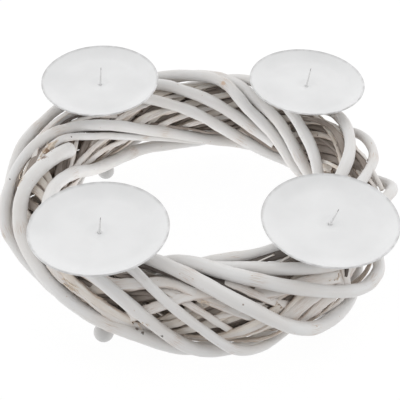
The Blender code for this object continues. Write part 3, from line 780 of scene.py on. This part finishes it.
coreShape = {
    "lanes": 16,
    "halfWide": 0.0130,
    "halfHigh": 0.0194,
    "wrap": 3.1875,
    "girth": 0.0032,
    "waver": 0.0006,
    "twigs": 18,
    "twigShare": 1.08,
    "twigGirth": 0.0017,
    "Flatness": 0.40,
    "pinRoom": 0.0052,
    "seed": 41,
    "everyDegrees": 3,
    "laneDegrees": 356,
    "laneWaves": (2, 5),
    "laneGirths": (0.92, 1.04),
    "twigDegrees": (50, 130),
    "twigWraps": (0.4, 2.4),
    "twigGirths": (0.7, 1.3),
    "Sides": 10,
    "Step": 0.005,
    "Size": 1.0,
}


def pinAxes():
    boxes = [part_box(name) for name in sorted(frame["nodes"]) if name.startswith("pin_")]
    return [((low[0] + high[0]) / 2, (low[1] + high[1]) / 2) for low, high in boxes]


def corePath(values, around, wrap, share):  # a path round the inside of the ring, which keeps off the pins
    reach = ring["radius"] + share * values["halfWide"] * np.cos(wrap)
    points = np.stack([
        ringMiddle[0] + reach * np.cos(around), ringMiddle[1] + reach * np.sin(around),
        ring["height"] + share * values["halfHigh"] * np.sin(wrap)], axis=1)
    for pin in pinAxes():
        away = points[:, :2] - pin
        distance = np.hypot(*away.T)[:, None]
        points[:, :2] = pin + away / np.maximum(distance, 1e-5) * np.maximum(values["pinRoom"], distance)
    return points


def corePaths(values):
    draw = np.random.default_rng(values["seed"])
    every = values["everyDegrees"]
    paths = []
    for lane in range(values["lanes"]):  # hidden strips side by side, wound the same way as those that show
        around = np.radians(draw.uniform(0, 360) + np.arange(0, values["laneDegrees"], every))
        wrap = 2 * math.pi * lane / values["lanes"] + values["wrap"] * around
        wave = np.sin(draw.uniform(*values["laneWaves"]) * around + draw.uniform(0, 6))
        share = 1 + values["waver"] / values["halfWide"] * wave
        girth = values["girth"] * draw.uniform(*values["laneGirths"])
        paths.append((corePath(values, around, wrap, share), girth))
    for _ in range(values["twigs"]):  # loose twigs over them, which run more along the ring
        first = draw.uniform(0, 360)
        around = np.radians(first + np.arange(0, draw.uniform(*values["twigDegrees"]), every))
        wrap = draw.uniform(0, 2 * math.pi) + draw.uniform(*values["twigWraps"]) * around
        girth = values["twigGirth"] * draw.uniform(*values["twigGirths"])
        paths.append((corePath(values, around, wrap, values["twigShare"]), girth))
    return paths


def joinedRoute(name, paths, faceUp=0):  # each path is its points and its girth, one number or one a point
    points = np.concatenate([path for path, _ in paths])
    girths = np.concatenate([np.broadcast_to(girth, len(path)) for path, girth in paths])
    edges = []
    first = 0
    for path, _ in paths:
        edges += [(k, k + 1) for k in range(first, first + len(path) - 1)]
        first += len(path)
    mesh = bpy.data.meshes.new(name)
    mesh.from_pydata(points.tolist(), edges, [])
    addValues(mesh, outward=outwardAt(points) + np.array((0, 0, faceUp)), girth=girths)
    return mesh


# the core strands take the dark raw-wood colours, which are partly painted shade
def addCore(values):
    belongs(grow("core_strands", joinedRoute("core", corePaths(values)), stripTree, {
        **stripShape, **values, "Seed": 9.0, "Paint": rawCoreAndShadeMaterial, "EndWood": caneEndMaterial}))


addCore(coreShape)

print("more strips between those of the frame")

fillerShape = {
    "depth": 0.0125,
    "everyDegrees": 1.2,
    "tuck": 12,
    "faceUp": 0.45,
    "Size": 1.0,
    "Flatness": 0.30,
}
fillerPaint = {
    "white": (0.77, 0.752, 0.735, 1),
    "warm": (0.70, 0.648, 0.60, 1),
    "rawWood": (0.50, 0.37, 0.29, 1),
    "grainScale": 120,
    "patchScale": 30,
    "rawFrom": 0.60,
}
# Strips that the frame doesn't have. Each: half its width and how far it bulges in millimetres, whether its
# start and its end are tucked in, and the points of the photo that it passes.
lightStrips = {
    "betweenLeftCanes": (2.8, 9.0, (1, 1), (
        (38, 140), (45, 131), (53, 123), (61, 117), (69, 112), (77, 108))),
    "leftWedge": (2.4, 5.0, (1, 1), ((56, 131), (70, 124), (82, 119), (96, 116))),
    "underRightPlateFirst": (0.9, 9.0, (0, 0), ((256, 263), (264, 259), (273, 255))),
    "underRightPlateSecond": (0.9, 9.0, (0, 0), ((280, 262), (285, 259), (291, 255))),
    "besideLowerCane": (4.6, 4.0, (1, 1), (
        (55, 268), (64, 277), (76, 286), (88, 295), (100, 305), (112, 315), (122, 321))),
    "upperLevel": (4.8, 2.6, (1, 1), (
        (98, 279), (108, 284), (120, 285), (135, 284), (150, 283), (165, 282), (178, 284), (190, 289))),
    "lowerLevel": (4.0, 3.0, (1, 1), (
        (132, 316), (145, 311), (158, 306), (172, 301), (185, 297), (198, 294), (210, 293))),
    "fallingLower": (2.6, 2.4, (1, 1), ((178, 298), (192, 306), (205, 314), (220, 324), (232, 331))),
    "fallingUpper": (2.8, 2.0, (1, 1), ((196, 297), (212, 302), (228, 309), (246, 316))),
    "alongBottom": (3.6, 2.6, (1, 1), (
        (203, 339), (220, 337), (236, 333), (250, 329), (262, 324), (273, 319))),
    "betweenMiddleCanes": (3.0, 4.0, (1, 1), ((228, 283), (240, 288), (252, 293), (264, 298))),
    "risingMiddle": (2.0, 3.0, (1, 1), ((254, 306), (268, 299), (280, 293), (292, 287))),
    "raggedRight": (5.0, 5.5, (1, 0), ((296, 286), (306, 283), (317, 280), (328, 278), (338, 277))),
    "rightUpper": (3.4, 4.0, (1, 1), ((337, 290), (343, 282), (349, 273), (354, 264))),
    "rightLowerFirst": (5.0, 4.6, (1, 1), ((286, 318), (297, 309), (306, 302), (316, 294), (324, 288))),
    "rightLowerSecond": (5.0, 6.0, (1, 1), ((300, 321), (312, 312), (322, 303), (332, 295), (338, 288))),
    "rightLowerThird": (4.2, 8.6, (1, 1), ((322, 315), (332, 308), (341, 299), (347, 289))),
    "backFirst": (2.2, 3.4, (1, 1), ((114, 123), (122, 117), (133, 111), (146, 105), (156, 101))),
    "backSecond": (2.2, 3.4, (1, 1), ((138, 126), (147, 119), (158, 114), (172, 108))),
    "backThird": (2.6, 3.4, (1, 1), ((157, 128), (168, 122), (180, 117), (192, 113))),
    "backFourth": (2.2, 3.4, (1, 1), ((178, 129), (188, 125), (199, 122), (210, 120))),
    "leftInnerFirst": (1.8, 4.0, (1, 1), ((77, 140), (74, 152), (71, 167))),
    "leftInnerSecond": (2.4, 4.0, (1, 1), ((102, 140), (93, 148), (84, 157), (75, 168))),
    "leftInnerThird": (2.6, 3.4, (1, 1), ((121, 142), (109, 147), (99, 153), (90, 161))),
    "leftInnerLow": (3.2, 4.0, (1, 1), ((69, 190), (80, 182), (91, 175), (103, 167))),
    "acrossRightLoop": (1.6, 8.4, (0, 0), ((351, 145), (359, 151), (367, 160))),
    "underTwig": (2.2, 6.5, (0, 1), ((364, 174), (370, 181), (377, 190))),
}
# Brown strips in the dark core colours, partly raw wood and partly painted shade in the shaded gaps, with the
# same columns as the strips above
brownStrips = {
    "leftOutside": (2.6, 5.5, (1, 1), ((15, 190), (18, 180), (22, 168), (28, 158))),
    "leftOpening": (4.2, 2.6, (1, 1), ((35, 161), (43, 152), (52, 145), (63, 138))),
    "backInside": (3.4, 5.6, (1, 1), ((249, 132), (257, 138), (265, 143), (274, 149))),
    "backUnder": (1.4, 5.6, (1, 1), ((172, 127), (184, 128), (196, 130), (208, 133))),
    "rightBack": (2.8, 8.4, (1, 1), ((317, 120), (326, 124), (334, 130), (340, 140))),
    "rightLoop": (3.0, 6.4, (1, 1), ((355, 152), (361, 159), (366, 168))),
}
# Painted shade: very dark strips put in the deep gaps under the plates and between the canes, with the same
# columns as the strips above
paintedShadeStrips = {
    "underRightPlate": (4.6, 7.4, (1, 1), ((236, 261), (250, 260), (262, 259), (275, 256), (290, 252))),
    "betweenMiddleCanes": (3.6, 3.4, (1, 1), ((196, 272), (208, 277), (222, 282), (236, 287), (250, 293))),
    "leftBetween": (1.2, 6.0, (1, 1), ((76, 132), (90, 131), (104, 132), (120, 133))),
    "leftWedge": (1.6, 6.4, (1, 1), ((66, 121), (76, 117), (87, 114))),
    "underLeftPlate": (3.0, 6.0, (1, 1), ((146, 266), (156, 269), (166, 272), (178, 276))),
    "besideRaggedEnd": (1.7, 6.0, (1, 1), ((342, 289), (344, 281), (347, 272))),
}
# Strips that the photo hides or hardly shows: half the width in millimetres, and the angles round the ring
# and round the section
hiddenStrips = (
    (3.4, ((238, -84), (250, -44), (262, -6), (272, 28))),
    (3.2, ((247, -88), (258, -50), (269, -12), (279, 22))),
    (3.4, ((296, -52), (302, -26), (308, -4), (314, 18), (320, 38))),
    (3.4, ((318, -66), (326, -40), (334, -14), (342, 12))),
    (2.6, ((8, 58), (15, 80), (22, 102), (29, 126))),
    (3.2, ((44, 150), (56, 186), (68, 222), (80, 258))),
    (3.0, ((88, 32), (99, 68), (110, 104), (122, 142))),
)
twigShape = {
    "Sides": 12,
    "Size": 1.0,
    "Swell": 0.10,
    "KnotEvery": 0.02,
    "KnotRise": 0.12,
    "bulge": 9.8,
    "halfWidth": 1.7,
    "route": ((372, 170), (375, 176), (379, 183), (382, 190)),
}
raySearch = {"near": 0.55, "far": 1.05, "steps": 4000}
millimetre = 0.001
wrapPerAround = 4  # degrees round the section that are as long as one degree round the ring


def ringAngles(spot, depth):  # the angles in degrees of the ring's point that the photo shows there
    start, way = photoRay(spot)
    points = start + np.linspace(raySearch["near"], raySearch["far"], raySearch["steps"])[:, None] * way
    flat = points[:, :2] - ringMiddle
    reach = (np.hypot(*flat.T) - ring["radius"]) / (ring["halfWide"] - depth)
    up = (points[:, 2] - ring["height"]) / (ring["halfHigh"] - depth)
    away = np.hypot(reach, up)
    hit = int(np.argmax(away < 1)) if (away < 1).any() else int(np.argmin(away))
    around = math.degrees(math.atan2(flat[hit, 1], flat[hit, 0]))
    return around, math.degrees(math.atan2(up[hit], reach[hit]))


def anglesOf(spots, bulge, values):
    angles = np.array([ringAngles(spot, values["depth"] - bulge * millimetre) for spot in spots])
    angles = np.degrees(np.unwrap(np.radians(angles), axis=0))
    return np.hstack([angles, np.full((len(spots), 1), bulge)])


def tuckedIn(angles, ends, values):  # goes on past an end, down among the other strips
    for end in (0, 1):
        if ends[end]:
            near, far = (angles[0], angles[1]) if end == 0 else (angles[-1], angles[-2])
            way = near - far
            way = way / np.hypot(way[0], way[1] / wrapPerAround) * values["tuck"]
            more = near + (way[0], way[1], -near[2])
            angles = np.vstack([[more], angles] if end == 0 else [angles, [more]])
    return angles


def routeFromAngles(angles, values):
    angles = np.array([(*angle, 0)[:3] for angle in angles], float)
    steps = np.hypot(np.diff(angles[:, 0]), np.diff(angles[:, 1]) / wrapPerAround)
    places = np.concatenate([[0], np.cumsum(steps)])
    fine = np.linspace(0, places[-1], max(5, round(places[-1] / values["everyDegrees"]) + 1))
    around, wrap, bulge = (np.interp(fine, places, angles[:, k]) for k in range(3))
    for _ in range(3):  # eases the corners of the route
        for line in (around, wrap, bulge):
            line[1:-1] = (line[:-2] + 2 * line[1:-1] + line[2:]) / 4
    around, wrap = np.radians(around), np.radians(wrap)
    out = bulge * millimetre - values["depth"]
    reach = ring["radius"] + (ring["halfWide"] + out) * np.cos(wrap)
    height = ring["height"] + (ring["halfHigh"] + out) * np.sin(wrap)
    return np.stack([
        ringMiddle[0] + reach * np.cos(around), ringMiddle[1] + reach * np.sin(around), height], axis=1)


def seenPaths(table, values):
    paths = []
    for half, bulge, ends, spots in table.values():
        angles = tuckedIn(anglesOf(spots, bulge, values), ends, values)
        paths.append((routeFromAngles(angles, values), half * millimetre))
    return paths


def addFillers(name, paths, paint, values):
    belongs(grow(name, joinedRoute(name, paths, values["faceUp"]), stripTree, {
        **stripShape, **values, "Seed": 5.0, "Paint": paint, "EndWood": caneEndMaterial}))


def addTwig(values):
    route = routeFromAngles(anglesOf(values["route"], values["bulge"], fillerShape), fillerShape)
    mesh = joinedRoute("twig", [(route, values["halfWidth"] * millimetre)])
    belongs(grow("loose_twig", mesh, caneTree, {
        **caneShape, **values, "Seed": 2.2, "Paint": fillerMaterial, "EndWood": caneEndMaterial}))


fillerMaterial = woodPaint("paleStripWhitewash", fillerPaint, 0.62, edgeWear=True)
addFillers("pale_strips", seenPaths(lightStrips, fillerShape), fillerMaterial, fillerShape)
addFillers("brown_strips", seenPaths(brownStrips, fillerShape), rawCoreAndShadeMaterial, fillerShape)
# the very dark strips are painted shade in the deep gaps
addFillers("painted_shade_strips", seenPaths(paintedShadeStrips, fillerShape), paintedShadeMaterial, fillerShape)
hiddenPaths = [(routeFromAngles(angles, fillerShape), half * millimetre) for half, angles in hiddenStrips]
addFillers("hidden_strips", hiddenPaths, stripMaterial, fillerShape)
addTwig(twigShape)

print("splinters and torn fibres")

fibreShape = {
    "PerArea": 36000.0,
    "Shortest": 0.0018,
    "Longest": 0.0085,
    "Thinnest": 0.00012,
    "Thickest": 0.00032,
    "Lift": 0.16,
    "Stray": 0.13,
}
splinterPaint = {
    "white": (0.74, 0.66, 0.56, 1),
    "warm": (0.60, 0.46, 0.34, 1),
    "rawWood": (0.36, 0.24, 0.16, 1),
    "grainScale": 160,
    "patchScale": 60,
    "rawFrom": 0.48,
}
# Where wood is split open: the photo's points that the splinters run from and to, how many they are, how
# long they are, how wide the place is in the photo, and how thick they are against the usual
splits = {
    "leftOpening": ((39, 158), (57, 140), 13, 0.012, 3.5, 1.9),
    "leftOutside": ((14, 188), (22, 170), 8, 0.008, 2.5, 1.4),
    "lowerEnd": ((135, 323), (147, 332), 8, 0.006, 2.5, 1.0),
    "raggedEnd": ((332, 280), (341, 275), 5, 0.004, 2.0, 1.0),
    "besideLowerCane": ((60, 280), (77, 293), 14, 0.010, 2.5, 1.0),
    "middleGap": ((196, 303), (214, 306), 8, 0.007, 3.0, 1.2),
}
splinterShape = {
    "seed": 77,
    "lift": 0.0005,
    "girth": 0.00040,
    "points": 6,
    "startShare": 0.75,
    "runShare": 0.3,
    "lengths": (0.5, 1.1),
    "shortest": 0.002,
    "bend": 0.12,
    "tip": 0.15,
    "girths": (0.5, 1.5),
    "Step": 0.0012,
    "Sides": 6,
    "Size": 1.0,
    "Tear": 0.0,
    "Fray": 0.0,
}


def buildFibreTree(sizes):
    tree, size = startTree("tearFibres", sizes)
    torn = addNode(tree, "FunctionNodeCompare", {0: named(tree, "edge"), 1: 0.6}, operation="GREATER_THAN")
    spots = addNode(tree, "GeometryNodeDistributePointsOnFaces", {
        "Mesh": size["Geometry"], "Selection": torn.outputs[0], "Density": size["PerArea"], "Seed": 4})
    stray = firstOut(tree, "FunctionNodeRandomValue", {
        0: (-1.0, -1.0, -1.0), 1: (1.0, 1.0, 1.0), "Seed": 11}, data_type="FLOAT_VECTOR")
    way = named(tree, "onward", "FLOAT_VECTOR")
    for more in (scaled(tree, stray, size["Stray"]), scaled(tree, spots.outputs["Normal"], size["Lift"])):
        way = firstOut(tree, "ShaderNodeVectorMath", {0: way, 1: more}, operation="ADD")
    turn = firstOut(tree, "FunctionNodeAlignRotationToVector", {"Vector": way}, axis="Z")
    long = addNode(tree, "FunctionNodeRandomValue", {
        "Min": size["Shortest"], "Max": size["Longest"], "Seed": 12}, data_type="FLOAT").outputs["Value"]
    thick = addNode(tree, "FunctionNodeRandomValue", {
        "Min": size["Thinnest"], "Max": size["Thickest"], "Seed": 13}, data_type="FLOAT").outputs["Value"]
    sliver = firstOut(tree, "GeometryNodeMeshCone", {
        "Vertices": 5, "Side Segments": 1, "Radius Top": 0.05, "Radius Bottom": 1.0, "Depth": 1.0})
    slivers = firstOut(tree, "GeometryNodeInstanceOnPoints", {
        "Points": spots.outputs["Points"], "Instance": sliver, "Rotation": turn,
        "Scale": firstOut(tree, "ShaderNodeCombineXYZ", {0: thick, 1: thick, 2: long})})
    whole = firstOut(tree, "GeometryNodeRealizeInstances", {0: slivers})
    whole = firstOut(tree, "GeometryNodeSetMaterial", {
        "Geometry": whole, "Material": size["Paint"]})
    tree.links.new(whole, tree.nodes.new("NodeGroupOutput").inputs[0])
    return tree


def joinedStrips():  # the skins of all strips in one mesh, as the ground that the fibres grow on
    shape = bmesh.new()
    for name in stripNames:
        shape.from_mesh(bpy.data.objects[f"peeled_{name}"].data)
    mesh = bpy.data.meshes.new("stripSkins")
    shape.to_mesh(mesh)
    shape.free()
    return mesh


def splinterPaths(values):  # splinters lie on what the camera sees there
    draw = np.random.default_rng(values["seed"])
    skins = np.concatenate([pointsOf(piece.data.vertices) for piece in pieces])
    camera = photoRay((0, 0))[0]  # every ray starts there
    paths = []
    steps = np.linspace(0, 1, values["points"])[:, None]
    for first, last, count, length, wide, thick in splits.values():
        for _ in range(count):
            share = draw.uniform(0, values["startShare"])
            start = np.array(first) + share * np.subtract(last, first) + draw.uniform(-wide, wide, 2)
            stop = start + values["runShare"] * np.subtract(last, first) + draw.uniform(-1, 1, 2)
            ends = [seenSpot(skins, spot) for spot in (start, stop)]
            ends = [end + (camera - end) / np.linalg.norm(camera - end) * values["lift"] for end in ends]
            way = ends[1] - ends[0]
            way *= length * draw.uniform(*values["lengths"]) / max(np.linalg.norm(way), values["shortest"])
            bend = draw.uniform(-values["bend"], values["bend"], 3) * length * steps * (1 - steps) * 4
            taper = np.linspace(1, values["tip"], len(steps)) * values["girth"] * thick
            paths.append((ends[0] + steps * way + bend, taper * draw.uniform(*values["girths"])))
    return paths


def addSplinters():
    raw = woodPaint("rawSplinterWood", splinterPaint, 0.8, edgeWear=False)
    paths = splinterPaths(splinterShape)
    belongs(grow("raw_splinters", joinedRoute("splinter", paths), stripTree, {
        **stripShape, **splinterShape, "Seed": 6.0, "Paint": raw, "EndWood": caneEndMaterial}))
    belongs(grow("torn_fibres", joinedStrips(), buildFibreTree(fibreShape), {**fibreShape, "Paint": raw}))


addSplinters()

print("plates, pins and feet")

plateShape = {
    "radius": 0.0478,
    "flatRadius": 0.034,
    "rimRise": 0.0056,
    "dimpleRadius": 0.010,
    "dimpleDepth": 0.0010,
    "thickness": 0.0009,
    "bead": 0.00075,
    "hole": 0.0009,
    "facets": 96,
    "steps": 8,
    "funnelStart": 0.0022,
    "flatRings": (0.5, 0.8, 0.95),
    "rimCurve": 1.8,
    "beadHalfTurn": 75,
    "darkRimWidth": 0.0022,
    "darkRimFade": 0.0016,
    "darkRimShare": 0.45,
}
pinShape = {
    "Step": 0.0006,
    "Sides": 18,
    "Size": 0.66,
    "Swell": 0.0,
    "KnotRise": 0.0,
    "Wander": 0.0,
    "Lumps": 0.00003,
    "LumpScale": 900.0,
    "CutEdge": 0.0001,
    "points": 60,
    "tipGirth": 0.00012,
    "darkTip": 0.0028,
    "darkFade": 0.0018,
}
footShape = {
    "radius": 0.00745,
    "flatRadius": 0.0024,
    "hole": 0.0012,
    "holeDent": 0.0004,
    "lift": 0.00002,
    "facets": 40,
    "rows": 22,
}


def lathe(name, profile, facets, middle, normal, tags=None):  # turns (radius, height) points about the normal
    side = np.cross((0, 1, 0), normal)
    side /= np.linalg.norm(side)
    frontWay = np.cross(normal, side)
    shape = bmesh.new()
    rows = []
    for radius, height in profile:
        row = []
        for k in range(facets if radius else 1):
            angle = 2 * math.pi * k / facets
            spot = radius * (math.cos(angle) * side + math.sin(angle) * frontWay) + height * np.array(normal)
            row.append(shape.verts.new(middle + spot))
        rows.append(row * (facets if len(row) == 1 else 1))
    for low, high in zip(rows, rows[1:]):
        for k in range(facets):
            n = (k + 1) % facets
            corners = list(dict.fromkeys((low[k], low[n], high[n], high[k])))
            shape.faces.new(corners)
    bmesh.ops.recalc_face_normals(shape, faces=shape.faces)
    mesh = bpy.data.meshes.new(name)
    shape.to_mesh(mesh)
    shape.free()
    if tags is not None:
        spots = pointsOf(mesh.vertices) - middle
        heights = spots @ normal
        reach = np.linalg.norm(spots - heights[:, None] * normal, axis=1)
        wearAndShade = mesh.attributes.new("wearAndShade", "FLOAT", "POINT")
        wearAndShade.data.foreach_set("value", tags(reach).astype(np.float32))
    mesh.shade_smooth()
    return addObject(name, mesh)


def plateProfile(values):
    flat = -values["rimRise"]
    low = flat - values["dimpleDepth"]
    bead = values["bead"]
    steps = values["steps"]
    shares = [k / steps for k in range(steps + 1)]
    inner = values["hole"] + values["funnelStart"]
    face = [(values["hole"], low)]
    for share in shares:  # a smooth funnel from the pin up to the flat
        rise = values["dimpleDepth"] * (share * share * (3 - 2 * share))
        face.append((inner + (values["dimpleRadius"] - inner) * share, low + rise))
    face += [(values["flatRadius"] * share, flat) for share in values["flatRings"]]
    span = values["radius"] - bead - values["flatRadius"]
    for share in shares:
        rise = (values["rimRise"] - bead) * share ** values["rimCurve"]
        face.append((values["flatRadius"] + span * share, flat + rise))
    under = [(radius, height - values["thickness"]) for radius, height in face]
    middle = (face[-1][0], face[-1][1] - values["thickness"] / 2)
    rolled = []
    for share in shares:
        angle = math.radians(values["beadHalfTurn"] * (2 * share - 1))
        rolled.append((middle[0] + bead * math.cos(angle), middle[1] + bead * math.sin(angle)))
    return under + rolled + face[::-1] + under[:1]


# A darker band along the plate's outer edge: painted shade of the rolled rim, broken up like chipped lacquer
def plateRimWearAndShade(reach):
    values = plateShape
    return values["darkRimShare"] * np.clip(
        (reach - values["radius"] + values["darkRimWidth"]) / values["darkRimFade"], 0, 1)


def addPlate(nodeName):
    shape = mergedCopy(nodeName)
    corners = pointsOf(shape.verts)
    shape.free()
    middle = corners.mean(0)
    _, _, axes = np.linalg.svd(corners - middle)
    normal = axes[2] * np.sign(axes[2][2])
    rim = middle + normal * ((corners - middle) @ normal).max()
    piece = lathe(f"lacquered_{nodeName}", plateProfile(plateShape), plateShape["facets"],
                  rim, normal, plateRimWearAndShade)
    piece.data.materials.append(plateMaterial)
    standsFor(piece, nodeName)


def addPin(nodeName):
    rings = readTip(nodeName, 8)
    middle = np.array([ring.mean(0) for ring in rings])
    girth = np.array([np.linalg.norm(ring - ring.mean(0), axis=1).mean() for ring in rings])
    middle, girth = middle[::-1], girth[::-1]
    girth[-1] = pinShape["tipGirth"]
    reach = np.concatenate([[0], np.cumsum(np.linalg.norm(np.diff(middle, axis=0), axis=1))])
    fine = np.linspace(0, reach[-1], pinShape["points"])
    route = np.stack([np.interp(fine, reach, middle[:, axis]) for axis in range(3)], axis=1)
    for _ in range(2):  # eases the bends of the rod
        route[1:-1] = (route[:-2] + 2 * route[1:-1] + route[2:]) / 4
    girths = np.interp(fine, reach, girth)
    mesh = routeMesh(nodeName, route, girth=girths, outward=np.tile((1.0, 0, 0), (len(route), 1)))
    piece = grow(f"spike_{nodeName}", mesh, caneTree, {
        **pinShape, "Seed": 0.5, "Paint": pinMaterial, "EndWood": pinMaterial})
    heights = pointsOf(piece.data.vertices)[:, 2]
    tipShare = np.clip((heights - heights.max() + pinShape["darkTip"]) / pinShape["darkFade"], 0, 1)
    tip = piece.data.attributes.new("wearAndShade", "FLOAT", "POINT")
    tip.data.foreach_set("value", tipShare.astype(np.float32))
    standsFor(piece, nodeName)


def readTip(nodeName, sides):
    shape = mergedCopy(nodeName)
    start = max((vertex for vertex in shape.verts if len(vertex.link_edges) == sides), key=lambda v: v.co.z)
    rings = [pointsOf(ring) for ring in ringsFrom(start)]
    shape.free()
    return rings


def addFoot(nodeName):
    low, high = (np.array(corner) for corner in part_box(nodeName))
    middle = (low + high) / 2
    radius = footShape["radius"]
    drop = math.sqrt(radius ** 2 - footShape["flatRadius"] ** 2)
    first = -math.acos(footShape["flatRadius"] / radius)
    last = math.acos(footShape["hole"] / radius)
    profile = [(0, -drop)]
    for angle in np.linspace(first, last, footShape["rows"] + 1):
        profile.append((radius * math.cos(angle), radius * math.sin(angle)))
    profile.append((0, profile[-1][1] - footShape["holeDent"]))
    base = np.array((middle[0], middle[1], drop + footShape["lift"]))
    piece = lathe(f"ball_{nodeName}", profile, footShape["facets"], base, np.array((0.0, 0.0, 1.0)))
    piece.data.materials.append(footPaintGreyedForShade)
    standsFor(piece, nodeName)


for name in sorted(frame["nodes"]):
    if name.startswith("plate_"):
        addPlate(name)
    elif name.startswith("pin_"):
        addPin(name)
    elif name.startswith("foot_"):
        addFoot(name)


insideBy = 1e-6  # how far inside the frame's box the furthest points end


def keepInside():  # no piece reaches further than the frame does
    low, high = (np.array(corner) for corner in cadBox)
    for piece in pieces:
        mesh = piece.data
        places = np.empty(3 * len(mesh.vertices), np.float32)
        mesh.vertices.foreach_get("co", places)
        places = np.clip(places.reshape(-1, 3), low + insideBy, high - insideBy)
        mesh.vertices.foreach_set("co", places.astype(np.float32).ravel())
        mesh.update()


keepInside()
